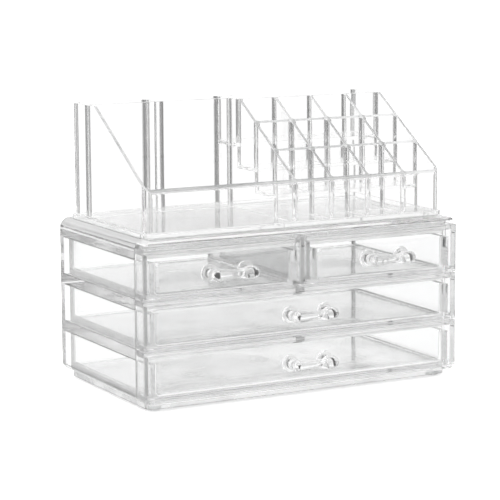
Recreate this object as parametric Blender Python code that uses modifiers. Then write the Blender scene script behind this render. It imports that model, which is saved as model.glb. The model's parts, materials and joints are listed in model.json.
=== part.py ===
"""Clear makeup organizer: a chest of four drawers with a lift-off slotted tray on top.

Metres, +Z up. The drawer fronts face -Y and +X is to the right as seen from the front.
The origin is in the middle of the bounding box's bottom face, under the feet.
"""

import math

import bmesh
import bpy
from mathutils import Matrix, Vector

# Case: one moulded box with a cell for each drawer
CASE_WIDTH = 0.2374
CASE_DEPTH = 0.1324
CASE_TOP_CORNER = 0.0075
CASE_BOTTOM_CORNER = 0.006
SIDE_WALL = 0.0038
BACK_WALL = 0.003
BASE_PLATE = 0.0021
SHELF = 0.0067
CELL_HEIGHT = 0.026
CELL_CORNER = 0.0012
CEILING = 0.005
TOP_HOLLOW = 0.0049
TOP_PLATE = 0.0031
DIVIDER = 0.0068
ROWS = 3

# Rims of the case: the skirt that it stands on and the frame that keeps the tray in place
SKIRT_INSET = 0.0045
SKIRT_WALL = 0.0024
SKIRT_HEIGHT = 0.0036
SKIRT_CORNER = 0.006
FRAME_WALL = 0.0014
FRAME_HEIGHT = 0.0032

# Feet: soft pads in the corners of the skirt
FOOT_RADIUS = 0.0045
FOOT_HEIGHT = 0.0052
FOOT_EDGE = 0.0008
FOOT_CLEARANCE = 0.0006

# Drawers: a deep front cap that laps the case's front edges, and a body behind it
FRONT_CAP_DEPTH = 0.0127
FRONT_PANEL = 0.003
FRONT_RETURN = 0.0037
FRONT_SIDE_RETURN = 0.003
FRONT_RAISE = 0.0006
FRONT_GAP = 0.0005
FRONT_TOP_EXTRA = 0.0008
FRONT_EDGE = 0.0007
BODY_INSET = 0.0068
BODY_WALL = 0.003
BODY_FLOOR = 0.0025
BODY_HEAD_GAP = 0.0011
BODY_BACK_GAP = 0.0034
BODY_OUTER_CORNER = 0.0025
BODY_INNER_CORNER = 0.004
BODY_FILLET = 0.003

# Handles: a waisted bar between two balls on posts, with pegs through the drawer front
HANDLE_REACH = 0.0168
HANDLE_HALF_SPAN = 0.0131
HANDLE_DROP = 0.0008
BALL_RADIUS = 0.0042
WAIST_RADIUS = 0.003
POST_RADIUS = 0.0029
FLANGE_RADIUS = 0.006
FLANGE_THICKNESS = 0.0028
FLANGE_EDGE = 0.0008
FLANGE_FLARE = 0.0026
PEG_RADIUS = 0.0018
PEG_CLEARANCE = 0.0003

# Tray: one moulding with two rear slots, a long rear slot, a tray and stepped lipstick cells
TRAY_SIDE_MARGIN = 0.0071
TRAY_FRONT_MARGIN = 0.0098
TRAY_BACK_MARGIN = 0.0091
TRAY_FRAME_GAP = 0.0006
TRAY_HEIGHT = 0.0787
TRAY_FRONT_HEIGHT = 0.0298
TRAY_FRONT_ROUND = 0.004
TRAY_FLAT_TOP = 0.036
TRAY_WALL = 0.0022
TRAY_FLOOR = 0.003
TRAY_FRONT_CORNER = 0.0052
TRAY_BACK_CORNER = 0.003
SLOT_CORNER = 0.0015
REAR_SLOT_CORNER = 0.003
LEFT_SLOT_DEPTH = 0.0195
LEFT_SLOT_WIDTH = 0.0508
LONG_SLOT_DEPTH = 0.03
COLUMN_WIDTH = 0.0259
COLUMNS = 4
CELL_DEPTH_SHARES = (0.315, 0.332, 0.353)
TREAD_RISE = 0.0149
TREAD_THICKNESS = 0.0022

# Gaps, overlaps and overruns
SEAT_GAP = 0.0003
JOIN_OVERLAP = 0.001
CUT_OVERRUN = 0.003
MERGE_DISTANCE = 0.00001

# Counts of facets
CORNER_SEGMENTS = 4
SLOT_CORNER_SEGMENTS = 2
FILLET_SEGMENTS = 3
TURN_STEPS = 20
BALL_SEGMENTS = 5
BAR_SEGMENTS = 8

# Places worked out from the sizes
FRONT_Y = (HANDLE_REACH - CASE_DEPTH) / 2
BACK_Y = FRONT_Y + CASE_DEPTH
CARCASS_FRONT_Y = FRONT_Y + FRONT_CAP_DEPTH
CELL_BACK_Y = BACK_Y - BACK_WALL
CASE_HALF = CASE_WIDTH / 2
CELL_HALF = CASE_HALF - SIDE_WALL
CASE_BOTTOM_Z = FOOT_HEIGHT
ROW_PITCH = CELL_HEIGHT + SHELF
FIRST_FLOOR_Z = CASE_BOTTOM_Z + BASE_PLATE
CEILING_Z = FIRST_FLOOR_Z + ROWS * ROW_PITCH - SHELF
HOLLOW_BOTTOM_Z = CEILING_Z + CEILING
HOLLOW_TOP_Z = HOLLOW_BOTTOM_Z + TOP_HOLLOW
CASE_TOP_Z = HOLLOW_TOP_Z + TOP_PLATE
TRAY_BACK_Y = BACK_Y - TRAY_BACK_MARGIN
TRAY_FRONT_Y = FRONT_Y + TRAY_FRONT_MARGIN
TRAY_HALF = CASE_HALF - TRAY_SIDE_MARGIN
TRAY_BOTTOM_Z = CASE_TOP_Z + SEAT_GAP

PLAN = Matrix.Identity(4)
SIDE_VIEW = Matrix(((0, 0, 1, 0), (1, 0, 0, 0), (0, 1, 0, 0), (0, 0, 0, 1)))
FRONT_VIEW = Matrix(((1, 0, 0, 0), (0, 0, -1, 0), (0, 1, 0, 0), (0, 0, 0, 1)))
TURNED_TO_FRONT = Matrix.Rotation(math.radians(90), 4, "X")
TURNED_TO_RIGHT = Matrix.Rotation(math.radians(90), 4, "Y")


def new_collection(name):
    """An empty collection of that name under the scene."""
    collection = bpy.data.collections.get(name) or bpy.data.collections.new(name)
    if collection.name not in bpy.context.scene.collection.children:
        bpy.context.scene.collection.children.link(collection)
    return collection


def clear_material(name, tint, roughness):
    """A clear moulded plastic."""
    material = bpy.data.materials.new(name)
    material.use_nodes = True
    shader = material.node_tree.nodes["Principled BSDF"]
    shader.inputs["Base Color"].default_value = (*tint, 1)
    shader.inputs["Roughness"].default_value = roughness
    shader.inputs["Metallic"].default_value = 0
    shader.inputs["Transmission Weight"].default_value = 1
    shader.inputs["IOR"].default_value = 1.57
    return material


def add_object(name, mesh, collection):
    """Links a mesh as a named object, with its round faces shaded smooth."""
    mesh.name = name
    mesh.shade_smooth()
    mesh.set_sharp_from_angle(angle=math.radians(35))
    item = bpy.data.objects.new(name, mesh)
    collection.objects.link(item)
    return item


def as_tool(item):
    """Marks an object as one that only shapes others."""
    item.hide_render = True
    item.display_type = "WIRE"
    return item


def combine(item, operation, tools):
    """Cuts, joins or trims an object with each tool in turn."""
    for tool in tools:
        modifier = item.modifiers.new(tool.name, "BOOLEAN")
        modifier.operation = operation
        modifier.object = as_tool(tool)
    return item


def set_origin(item, point):
    """Moves an object's origin to a point and leaves its shape where it is."""
    item.data.transform(Matrix.Translation(-Vector(point)))
    item.location = point


def rounded_outline(low, high, radii, segments):
    """Outline of a rectangle whose corners are arcs, from the low corner anticlockwise."""
    corners = (
        (low[0], low[1], 1, 1, 180),
        (high[0], low[1], -1, 1, 270),
        (high[0], high[1], -1, -1, 0),
        (low[0], high[1], 1, -1, 90),
    )
    points = []
    for (x, y, side_x, side_y, start), radius in zip(corners, radii):
        if radius == 0:
            points.append((x, y))
            continue
        for step in range(segments + 1):
            angle = math.radians(start + 90 * step / segments)
            points.append((
                x + side_x * radius + radius * math.cos(angle),
                y + side_y * radius + radius * math.sin(angle),
            ))
    return points


def outline_solid(name, points, low, high, view, collection):
    """A flat outline extruded from low to high along the axis that the view looks along."""
    curve = bpy.data.curves.new(name + "_outline", "CURVE")
    curve.dimensions = "2D"
    curve.fill_mode = "BOTH"
    curve.extrude = (high - low) / 2
    spline = curve.splines.new("POLY")
    spline.points.add(len(points) - 1)
    for point, (u, v) in zip(spline.points, points):
        point.co = (u, v, 0, 1)
    spline.use_cyclic_u = True
    outline = bpy.data.objects.new(name + "_outline", curve)
    collection.objects.link(outline)
    depsgraph = bpy.context.evaluated_depsgraph_get()
    mesh = bpy.data.meshes.new_from_object(outline.evaluated_get(depsgraph))
    bpy.data.objects.remove(outline)
    for vertex in mesh.vertices:
        vertex.co.z = low if vertex.co.z < 0 else high
    mesh.transform(view)
    work = bmesh.new()
    work.from_mesh(mesh)
    bmesh.ops.remove_doubles(work, verts=work.verts, dist=MERGE_DISTANCE)
    bmesh.ops.recalc_face_normals(work, faces=work.faces)
    work.to_mesh(mesh)
    work.free()
    return add_object(name, mesh, collection)


def box(name, low, high, collection, rounding=0, segments=2):
    """A box between two corners, with all its edges rounded if a rounding is given."""
    mesh = bpy.data.meshes.new(name)
    work = bmesh.new()
    bmesh.ops.create_cube(work, size=1)
    for vertex in work.verts:
        vertex.co = [a if value < 0 else b for value, a, b in zip(vertex.co, low, high)]
    if rounding:
        bmesh.ops.bevel(work, geom=work.edges[:], offset=rounding, segments=segments,
                        profile=0.5, affect="EDGES", clamp_overlap=True)
    work.to_mesh(mesh)
    work.free()
    return add_object(name, mesh, collection)


def ring(name, low, high, wall, radii, bottom, top, tools):
    """A level frame of an even wall, with rounded corners."""
    frame = outline_solid(name, rounded_outline(low, high, radii, CORNER_SEGMENTS),
                          bottom, top, PLAN, tools)
    inner_outline = rounded_outline([value + wall for value in low], [value - wall for value in high],
                                    [radius - wall for radius in radii], CORNER_SEGMENTS)
    inner = outline_solid(name + "_inside", inner_outline,
                          bottom - CUT_OVERRUN, top + CUT_OVERRUN, PLAN, tools)
    return combine(frame, "DIFFERENCE", [inner])


def turned(name, profile, view, place, steps, collection):
    """A profile of (radius, height) points, given top to bottom, turned about its own axis."""
    mesh = bpy.data.meshes.new(name)
    mesh.from_pydata([(radius, 0, height) for radius, height in profile],
                     [(index, index + 1) for index in range(len(profile) - 1)], [])
    item = bpy.data.objects.new(name, mesh)
    collection.objects.link(item)
    item.matrix_world = Matrix.Translation(place) @ view
    screw = item.modifiers.new("turn", "SCREW")
    screw.axis = "Z"
    screw.steps = steps
    screw.render_steps = steps
    screw.use_merge_vertices = True
    screw.merge_threshold = MERGE_DISTANCE
    screw.use_smooth_shade = True
    return item


def row_floor(row):
    """Height of the floor that the drawers of a row run on, counted from the bottom."""
    return FIRST_FLOOR_Z + row * ROW_PITCH


def cell_spans():
    """Side limits and row of each drawer's cell, with the drawer's name."""
    return (
        ("bottom", 0, -CELL_HALF, CELL_HALF),
        ("middle", 1, -CELL_HALF, CELL_HALF),
        ("top_left", ROWS - 1, -CELL_HALF, -DIVIDER / 2),
        ("top_right", ROWS - 1, DIVIDER / 2, CELL_HALF),
    )


def front_spans():
    """Side limits of each drawer front: the top row's two fronts meet at the middle."""
    return {
        "bottom": (-CASE_HALF, CASE_HALF),
        "middle": (-CASE_HALF, CASE_HALF),
        "top_left": (-CASE_HALF, -FRONT_GAP / 2),
        "top_right": (FRONT_GAP / 2, CASE_HALF),
    }


def handle_height(row):
    """Height of the middle of a row's handles, just under the middle of the fronts."""
    return row_floor(row) + FRONT_RAISE + (ROW_PITCH - FRONT_GAP) / 2 - HANDLE_DROP


def build_case(parts, tools):
    """The chest's case: walls, shelves, divider, hollow under the top plate, skirt and frame."""
    outline = rounded_outline((-CASE_HALF, CASE_BOTTOM_Z), (CASE_HALF, CASE_TOP_Z),
                              [CASE_BOTTOM_CORNER] * 2 + [CASE_TOP_CORNER] * 2, CORNER_SEGMENTS)
    case = outline_solid("case", outline, -BACK_Y, -FRONT_Y, FRONT_VIEW, parts)

    front_room = box("front_room",
                     (-CASE_HALF - CUT_OVERRUN, FRONT_Y - CUT_OVERRUN, FIRST_FLOOR_Z),
                     (CASE_HALF + CUT_OVERRUN, CARCASS_FRONT_Y, HOLLOW_TOP_Z), tools)
    hollow = box("top_hollow",
                 (-CELL_HALF, FRONT_Y - CUT_OVERRUN, HOLLOW_BOTTOM_Z),
                 (CELL_HALF, CELL_BACK_Y, HOLLOW_TOP_Z), tools)
    cells = [
        outline_solid("cell_" + name,
                      rounded_outline((low, row_floor(row)), (high, row_floor(row) + CELL_HEIGHT),
                                      [CELL_CORNER] * 4, SLOT_CORNER_SEGMENTS),
                      -CELL_BACK_Y, -FRONT_Y + CUT_OVERRUN, FRONT_VIEW, tools)
        for name, row, low, high in cell_spans()
    ]
    combine(case, "DIFFERENCE", [front_room, hollow] + cells)

    skirt = ring("skirt",
                 (-CASE_HALF + SKIRT_INSET, FRONT_Y + SKIRT_INSET),
                 (CASE_HALF - SKIRT_INSET, BACK_Y - SKIRT_INSET),
                 SKIRT_WALL, [SKIRT_CORNER] * 4,
                 CASE_BOTTOM_Z - SKIRT_HEIGHT, CASE_BOTTOM_Z + JOIN_OVERLAP, tools)
    margin = TRAY_FRAME_GAP + FRAME_WALL
    frame = ring("tray_frame",
                 (-TRAY_HALF - margin, TRAY_FRONT_Y - margin),
                 (TRAY_HALF + margin, TRAY_BACK_Y + margin),
                 FRAME_WALL, [TRAY_FRONT_CORNER + margin] * 2 + [TRAY_BACK_CORNER + margin] * 2,
                 CASE_TOP_Z - JOIN_OVERLAP, CASE_TOP_Z + FRAME_HEIGHT, tools)
    combine(case, "UNION", [skirt, frame])
    return case


def build_foot(name, side_x, side_y, parts):
    """A round pad against the case's underside, inside a corner of the skirt."""
    inset = SKIRT_INSET + SKIRT_WALL + FOOT_CLEARANCE + FOOT_RADIUS
    middle_y = (FRONT_Y + BACK_Y) / 2
    place = (side_x * (CASE_HALF - inset), middle_y + side_y * (CASE_DEPTH / 2 - inset), 0)
    top = CASE_BOTTOM_Z - SEAT_GAP
    profile = [(0, top), (FOOT_RADIUS, top), (FOOT_RADIUS, FOOT_EDGE),
               (FOOT_RADIUS - FOOT_EDGE, 0), (0, 0)]
    return turned(name, profile, PLAN, place, TURN_STEPS, parts)


def drawer_pocket(name, low, high, tools):
    """The hollow of a drawer: round upright corners, filleted all round the floor."""
    outline = rounded_outline(low[:2], high[:2], [BODY_INNER_CORNER] * 4, CORNER_SEGMENTS)
    pocket = outline_solid(name, outline, low[2], high[2], PLAN, tools)
    work = bmesh.new()
    work.from_mesh(pocket.data)
    bottom = min(vertex.co.z for vertex in work.verts)
    lower_edges = [
        edge for edge in work.edges
        if all(vertex.co.z - bottom < MERGE_DISTANCE for vertex in edge.verts)
    ]
    outer_edges = [edge for edge in lower_edges
                   if any(abs(face.normal.z) < 0.5 for face in edge.link_faces)]
    bmesh.ops.dissolve_faces(work, faces=[face for face in work.faces
                                          if face.normal.z < -0.5])
    bmesh.ops.bevel(work, geom=[edge for edge in outer_edges if edge.is_valid], offset=BODY_FILLET,
                    segments=FILLET_SEGMENTS, profile=0.5, affect="EDGES", clamp_overlap=True)
    work.to_mesh(pocket.data)
    work.free()
    return pocket


def build_drawer(name, row, span, parts, tools):
    """A drawer: front cap with returns all round, body behind it and two holes for the pegs."""
    node = "drawer_" + name
    left, right = span
    bottom = row_floor(row) + FRONT_RAISE
    top = bottom + ROW_PITCH - FRONT_GAP + (FRONT_TOP_EXTRA if row == ROWS - 1 else 0)
    cap_back = CARCASS_FRONT_Y - FRONT_GAP
    body_left = left + BODY_INSET
    body_right = right - BODY_INSET
    body_bottom = row_floor(row) + SEAT_GAP
    body_top = row_floor(row) + CELL_HEIGHT - BODY_HEAD_GAP
    body_back = CELL_BACK_Y - BODY_BACK_GAP

    drawer = box(node, (left, FRONT_Y, bottom), (right, cap_back, top), parts, FRONT_EDGE)
    cap_inside = box(node + "_cap_inside",
                     (left + FRONT_SIDE_RETURN, FRONT_Y + FRONT_PANEL, bottom + FRONT_RETURN),
                     (right - FRONT_SIDE_RETURN, cap_back + CUT_OVERRUN, top - FRONT_RETURN), tools)
    combine(drawer, "DIFFERENCE", [cap_inside])

    neck = box(node + "_neck",
               (body_left, FRONT_Y + FRONT_PANEL - JOIN_OVERLAP, bottom + FRONT_RETURN - JOIN_OVERLAP),
               (body_right, cap_back + JOIN_OVERLAP, body_top), tools)
    outline = rounded_outline((body_left, cap_back), (body_right, body_back),
                              [0, 0] + [BODY_OUTER_CORNER] * 2, CORNER_SEGMENTS)
    body = outline_solid(node + "_body", outline, body_bottom, body_top, PLAN, tools)
    combine(drawer, "UNION", [neck, body])

    pocket = drawer_pocket(node + "_pocket",
                           (body_left + BODY_WALL, FRONT_Y + FRONT_PANEL, body_bottom + BODY_FLOOR),
                           (body_right - BODY_WALL, body_back - BODY_WALL, body_top + CUT_OVERRUN),
                           tools)
    holes = [
        turned(node + "_hole_" + side_name, [(0, CUT_OVERRUN),
               (PEG_RADIUS + PEG_CLEARANCE, CUT_OVERRUN),
               (PEG_RADIUS + PEG_CLEARANCE, -FRONT_PANEL - CUT_OVERRUN),
               (0, -FRONT_PANEL - CUT_OVERRUN)],
               TURNED_TO_FRONT,
               ((left + right) / 2 + side * HANDLE_HALF_SPAN, FRONT_Y, handle_height(row)),
               TURN_STEPS, tools)
        for side_name, side in (("left", -1), ("right", 1))
    ]
    combine(drawer, "DIFFERENCE", [pocket] + holes)
    set_origin(drawer, ((left + right) / 2, FRONT_Y, (bottom + top) / 2))
    return drawer


def bar_profile():
    """Half outline of the handle's bar, from its right end to its left: ball, waist, ball."""
    ball_end = [
        (BALL_RADIUS * math.sin(angle), HANDLE_HALF_SPAN + BALL_RADIUS * math.cos(angle))
        for angle in (math.radians(90 * step / BALL_SEGMENTS) for step in range(BALL_SEGMENTS + 1))
    ]
    waist = []
    for step in range(1, BAR_SEGMENTS):
        along = HANDLE_HALF_SPAN * (1 - 2 * step / BAR_SEGMENTS)
        swell = (1 - math.cos(math.pi * along / HANDLE_HALF_SPAN)) / 2
        waist.append((WAIST_RADIUS + (BALL_RADIUS - WAIST_RADIUS) * swell, along))
    other_end = [(radius, -along) for radius, along in reversed(ball_end)]
    return ball_end + waist + other_end


def build_handle(name, row, span, parts, tools):
    """A drawer's handle, seated on the front with its pegs in the two holes."""
    node = "handle_" + name
    middle_x = sum(span) / 2
    middle_z = handle_height(row)
    bar_out = HANDLE_REACH - BALL_RADIUS
    bar = turned(node, bar_profile(), TURNED_TO_RIGHT,
                 (middle_x, FRONT_Y - bar_out, middle_z), TURN_STEPS, parts)
    flange_face = SEAT_GAP + FLANGE_THICKNESS
    post_profile = [
        (0, bar_out),
        (POST_RADIUS, bar_out),
        (POST_RADIUS, flange_face + FLANGE_FLARE),
        ((POST_RADIUS + FLANGE_RADIUS) / 2, flange_face + FLANGE_FLARE / 4),
        (FLANGE_RADIUS - FLANGE_EDGE, flange_face),
        (FLANGE_RADIUS, flange_face - FLANGE_EDGE),
        (FLANGE_RADIUS, SEAT_GAP + FLANGE_EDGE),
        (FLANGE_RADIUS - FLANGE_EDGE, SEAT_GAP),
        (PEG_RADIUS, SEAT_GAP),
        (PEG_RADIUS, -FRONT_PANEL),
        (0, -FRONT_PANEL),
    ]
    posts = [
        turned(node + "_post_" + side_name, post_profile, TURNED_TO_FRONT,
               (middle_x + side * HANDLE_HALF_SPAN, FRONT_Y, middle_z), TURN_STEPS, tools)
        for side_name, side in (("left", -1), ("right", 1))
    ]
    return combine(bar, "UNION", posts)


def tray_walls():
    """Back faces of the level walls: behind the front tray, and a, b and c down the stair."""
    back_inner = TRAY_BACK_Y - TRAY_WALL
    walls = {"left": back_inner - LEFT_SLOT_DEPTH, "a": back_inner - LONG_SLOT_DEPTH}
    room = walls["a"] - TRAY_FRONT_Y - (len(CELL_DEPTH_SHARES) + 1) * TRAY_WALL
    walls["b"] = walls["a"] - TRAY_WALL - room * CELL_DEPTH_SHARES[0]
    walls["c"] = walls["b"] - TRAY_WALL - room * CELL_DEPTH_SHARES[1]
    return walls


def stair_left():
    """The stair's left edge inside its left wall, counted back from the right wall."""
    return TRAY_HALF - TRAY_WALL - COLUMNS * COLUMN_WIDTH - (COLUMNS - 1) * TRAY_WALL


def tread_height(count):
    """Height of a tread of the stair over the tray's underside, counted from the front."""
    return TRAY_FLOOR + count * TREAD_RISE


def tray_slots():
    """Low corner, high corner and corner radii of every slot in the tray."""
    walls = tray_walls()
    inside = -TRAY_HALF + TRAY_WALL
    stair = stair_left()
    left_end = stair - TRAY_WALL
    front_inner = TRAY_FRONT_Y + TRAY_WALL
    back_inner = TRAY_BACK_Y - TRAY_WALL
    second_slot = inside + LEFT_SLOT_WIDTH + TRAY_WALL
    front_round = TRAY_FRONT_CORNER - TRAY_WALL
    small = SLOT_CORNER
    wide = REAR_SLOT_CORNER
    slots = [
        ("front_tray", (inside, front_inner, TRAY_FLOOR), (left_end, walls["left"] - TRAY_WALL),
         (front_round, small, small, small)),
        ("rear_slot_1", (inside, walls["left"], TRAY_FLOOR), (second_slot - TRAY_WALL, back_inner),
         (wide, wide, wide, wide)),
        ("rear_slot_2", (second_slot, walls["left"], TRAY_FLOOR), (left_end, back_inner),
         (wide, wide, wide, wide)),
        ("rear_slot_3", (stair, walls["a"], tread_height(3)), (TRAY_HALF - TRAY_WALL, back_inner),
         (wide, wide, wide, wide)),
    ]
    rows = (
        ("back", walls["b"], walls["a"] - TRAY_WALL, tread_height(2)),
        ("middle", walls["c"], walls["b"] - TRAY_WALL, tread_height(1)),
        ("front", front_inner, walls["c"] - TRAY_WALL, tread_height(0)),
    )
    for row_name, near, far, floor in rows:
        for column in range(COLUMNS):
            low_x = stair + column * (COLUMN_WIDTH + TRAY_WALL)
            at_corner = row_name == "front" and column == COLUMNS - 1
            slots.append((
                "cell_%s_%d" % (row_name, column + 1),
                (low_x, near, floor), (low_x + COLUMN_WIDTH, far),
                (small, front_round if at_corner else small, small, small),
            ))
    return slots


def build_tray(parts, tools):
    """The top tray: a sloped block trimmed to rounded corners, hollowed from above and below."""
    top = TRAY_BOTTOM_Z + TRAY_HEIGHT
    slope_end_y = TRAY_BACK_Y - TRAY_FLAT_TOP
    front_top = TRAY_BOTTOM_Z + TRAY_FRONT_HEIGHT
    slope = math.atan2(top - front_top, slope_end_y - TRAY_FRONT_Y)
    turn = math.pi / 2 - slope
    arc_centre = (
        TRAY_FRONT_Y + TRAY_FRONT_ROUND,
        front_top - TRAY_FRONT_ROUND * math.tan(turn / 2),
    )
    front_round = [
        (arc_centre[0] - TRAY_FRONT_ROUND * math.cos(turn * step / CORNER_SEGMENTS),
         arc_centre[1] + TRAY_FRONT_ROUND * math.sin(turn * step / CORNER_SEGMENTS))
        for step in range(CORNER_SEGMENTS + 1)
    ]
    profile = [(TRAY_FRONT_Y, TRAY_BOTTOM_Z)] + front_round + [
        (slope_end_y, top),
        (TRAY_BACK_Y, top),
        (TRAY_BACK_Y, TRAY_BOTTOM_Z),
    ]
    tray = outline_solid("top_tray", profile, -TRAY_HALF, TRAY_HALF, SIDE_VIEW, parts)
    plan = outline_solid("tray_plan",
                         rounded_outline((-TRAY_HALF, TRAY_FRONT_Y), (TRAY_HALF, TRAY_BACK_Y),
                                         [TRAY_FRONT_CORNER] * 2 + [TRAY_BACK_CORNER] * 2,
                                         CORNER_SEGMENTS),
                         TRAY_BOTTOM_Z - CUT_OVERRUN, top + CUT_OVERRUN, PLAN, tools)
    combine(tray, "INTERSECT", [plan])

    slots = [
        outline_solid("tray_" + name,
                      rounded_outline(low[:2], high, radii, CORNER_SEGMENTS if max(radii) > SLOT_CORNER
                                      else SLOT_CORNER_SEGMENTS),
                      TRAY_BOTTOM_Z + low[2], top + CUT_OVERRUN, PLAN, tools)
        for name, low, high, radii in tray_slots()
    ]

    walls = tray_walls()
    levels = [TRAY_BOTTOM_Z + tread_height(count) - TREAD_THICKNESS for count in (1, 2, 3)]
    under_stair = [
        (walls["c"], TRAY_BOTTOM_Z - CUT_OVERRUN),
        (walls["c"], levels[0]),
        (walls["b"], levels[0]),
        (walls["b"], levels[1]),
        (walls["a"], levels[1]),
        (walls["a"], levels[2]),
        (TRAY_BACK_Y - TRAY_WALL, levels[2]),
        (TRAY_BACK_Y - TRAY_WALL, TRAY_BOTTOM_Z - CUT_OVERRUN),
    ]
    hollow = outline_solid("tray_under_stair", under_stair, stair_left(), TRAY_HALF - TRAY_WALL,
                           SIDE_VIEW, tools)
    combine(tray, "DIFFERENCE", slots + [hollow])
    set_origin(tray, (0, (TRAY_FRONT_Y + TRAY_BACK_Y) / 2, TRAY_BOTTOM_Z))
    return tray


def main():
    for item in list(bpy.data.objects):
        bpy.data.objects.remove(item)
    parts = new_collection("makeup_drawer_organizer")
    tools = new_collection("shaping_tools")

    build_case(parts, tools)
    spans = front_spans()
    for name, row, low, high in cell_spans():
        build_drawer(name, row, spans[name], parts, tools)
        build_handle(name, row, spans[name], parts, tools)
    for end, side_y in (("front", -1), ("back", 1)):
        for side, side_x in (("left", -1), ("right", 1)):
            build_foot("foot_%s_%s" % (end, side), side_x, side_y, parts)
    build_tray(parts, tools)

    tints = {
        "case": (0.93, 0.95, 0.95),
        "top_tray": (0.95, 0.96, 0.96),
        "drawer": (0.94, 0.96, 0.96),
        "handle": (0.96, 0.97, 0.97),
        "foot": (0.86, 0.87, 0.87),
    }
    for item in parts.objects:
        kind = next(key for key in tints if item.name.startswith(key))
        roughness = 0.4 if kind == "foot" else 0.03
        item.data.materials.clear()
        item.data.materials.append(clear_material(item.name + "_plastic", tints[kind], roughness))


main()
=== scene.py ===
"""Looks of the clear makeup organizer: plastic, light, floor and the photograph's camera."""
from collections import namedtuple
import json
import math

import bmesh
import bpy
from mathutils import Matrix, Vector


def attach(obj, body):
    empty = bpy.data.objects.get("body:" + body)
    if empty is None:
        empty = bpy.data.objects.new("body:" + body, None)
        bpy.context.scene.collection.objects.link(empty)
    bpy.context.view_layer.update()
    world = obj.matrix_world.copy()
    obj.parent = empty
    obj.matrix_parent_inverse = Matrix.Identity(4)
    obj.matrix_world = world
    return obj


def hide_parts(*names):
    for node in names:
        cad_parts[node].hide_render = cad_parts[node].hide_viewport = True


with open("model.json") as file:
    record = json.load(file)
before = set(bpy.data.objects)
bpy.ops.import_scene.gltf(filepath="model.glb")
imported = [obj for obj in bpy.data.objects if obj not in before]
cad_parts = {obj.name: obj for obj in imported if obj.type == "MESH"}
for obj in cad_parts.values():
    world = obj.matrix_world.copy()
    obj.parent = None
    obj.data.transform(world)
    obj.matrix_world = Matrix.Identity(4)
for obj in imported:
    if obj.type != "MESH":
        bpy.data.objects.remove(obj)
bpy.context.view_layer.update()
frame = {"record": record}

scene = bpy.context.scene

# Grey cards that the plastic's edges pick up: compass angles from +Y to either side, then the sines
# of the heights over the horizon between which they hang
CARDS = ((5, 17, -0.15, -0.03), (40, 62, -0.15, -0.05), (66, 84, -0.33, 0.02),
         (96, 114, -0.33, 0.02), (161, 174, -0.33, 0.02))
CARD_EDGE = 1.5
CARD_FADE = 0.02
CARD_GREY = 0.3
# Grey of the surroundings by the sine of the height over the horizon
SKY_STOPS = ((-1.0, 1.0), (0.1, 1.0), (0.13, 0.92), (0.15, 0.88), (0.25, 0.86), (0.29, 0.94),
             (0.34, 1.0), (1.0, 1.0))
LIGHT_STRENGTH = 1.08
LAMP_AIM_Z = 0.08
FLOOR_RADIUS = 12
FLOOR_SIDES = 96
FLOOR_GREY = 0.8
FLOOR_GLOW = 0.62
# The floor fades out of what the plastic mirrors and bends between these distances from its middle
FLOOR_FADE_START = 0.2
FLOOR_FADE_END = 0.34
BOUNCES = 72
OPEN_BOUNCES = 24

# The camera as fitted to the straight edges in the photograph: metres, degrees and millimetres
CAMERA_PLACE = (-0.666719, -1.216685, 0.308706)
CAMERA_YAW = 28.331
CAMERA_PITCH = 8.973
CAMERA_ROLL = -0.294
CAMERA_LENS = 148.2
CAMERA_SENSOR = 36

# Clear plastic: patches that are rougher, and slow waves of the flow in the mould
PLASTIC_IOR = 1.49
PATCH_SCALE = 45
PATCH_DETAIL = 4
PATCH_START = 0.45
PATCH_END = 0.75
PATCH_ROUGHER = 3
WAVE_SCALE = 16
WAVE_DETAIL = 0.5
WAVE_DEPTH = 0.0008
# Painted shade on a wide drawer's floor, standing in for the shaded table under the organizer seen
# through it: it reaches back to the first limit below at the left, and only to the second at the
# right of a smooth step. A wobble makes its edge uneven
FLOOR_SHADE_BACK_Y = 0.048
FLOOR_SHADE_FRONT_Y = -0.036
FLOOR_SHADE_STEP_WIDTH = 0.045
FLOOR_SHADE_WOBBLE = 0.016
FLOOR_SHADE_SOFTNESS = 0.004
FLOOR_SHADE_SCALE = 22
FLOOR_SHADE_DETAIL = 1

# Case: one moulded box with a cell for each drawer
CASE_WIDTH = 0.2374
CASE_DEPTH = 0.1324
CASE_TOP_CORNER = 0.0075
CASE_BOTTOM_CORNER = 0.006
SIDE_WALL = 0.0038
BACK_WALL = 0.003
BASE_PLATE = 0.0021
SHELF = 0.0067
CELL_HEIGHT = 0.026
CELL_CORNER = 0.0006
CEILING = 0.005
TOP_HOLLOW = 0.0049
TOP_PLATE = 0.0031
DIVIDER = 0.0068
ROWS = 3
SKIRT_INSET = 0.0045
SKIRT_WALL = 0.0024
SKIRT_HEIGHT = 0.0036
SKIRT_CORNER = 0.006
FRAME_WALL = 0.0014
FRAME_HEIGHT = 0.0032

# Feet, drawers and handles
FOOT_RADIUS = 0.0045
FOOT_HEIGHT = 0.0052
FOOT_EDGE = 0.0008
FOOT_CLEARANCE = 0.0006
FRONT_CAP_DEPTH = 0.0127
FRONT_PANEL = 0.003
FRONT_RETURN = 0.0037
FRONT_SIDE_RETURN = 0.0035
FRONT_RAISE = 0.0006
FRONT_GAP = 0.0005
FRONT_TOP_EXTRA = 0.0008
FRONT_EDGE = 0.0007
BODY_INSET = 0.0056
BODY_WALL = 0.0034
BODY_FLOOR = 0.0025
BODY_HEAD_GAP = 0.0011
BODY_BACK_GAP = 0.0034
BODY_OUTER_CORNER = 0.0025
BODY_INNER_CORNER = 0.004
BODY_FILLET = 0.003
HANDLE_REACH = 0.0168
HANDLE_HALF_SPAN = 0.0131
HANDLE_DROP = 0.0008
BALL_RADIUS = 0.0042
WAIST_RADIUS = 0.003
POST_RADIUS = 0.0029
FLANGE_RADIUS = 0.006
FLANGE_THICKNESS = 0.0028
FLANGE_FLARE = 0.0026
FLARE_SHARE = 0.72
FLANGE_RIM = 0.55
PEG_RADIUS = 0.0018
PEG_CLEARANCE = 0.0003

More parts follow.
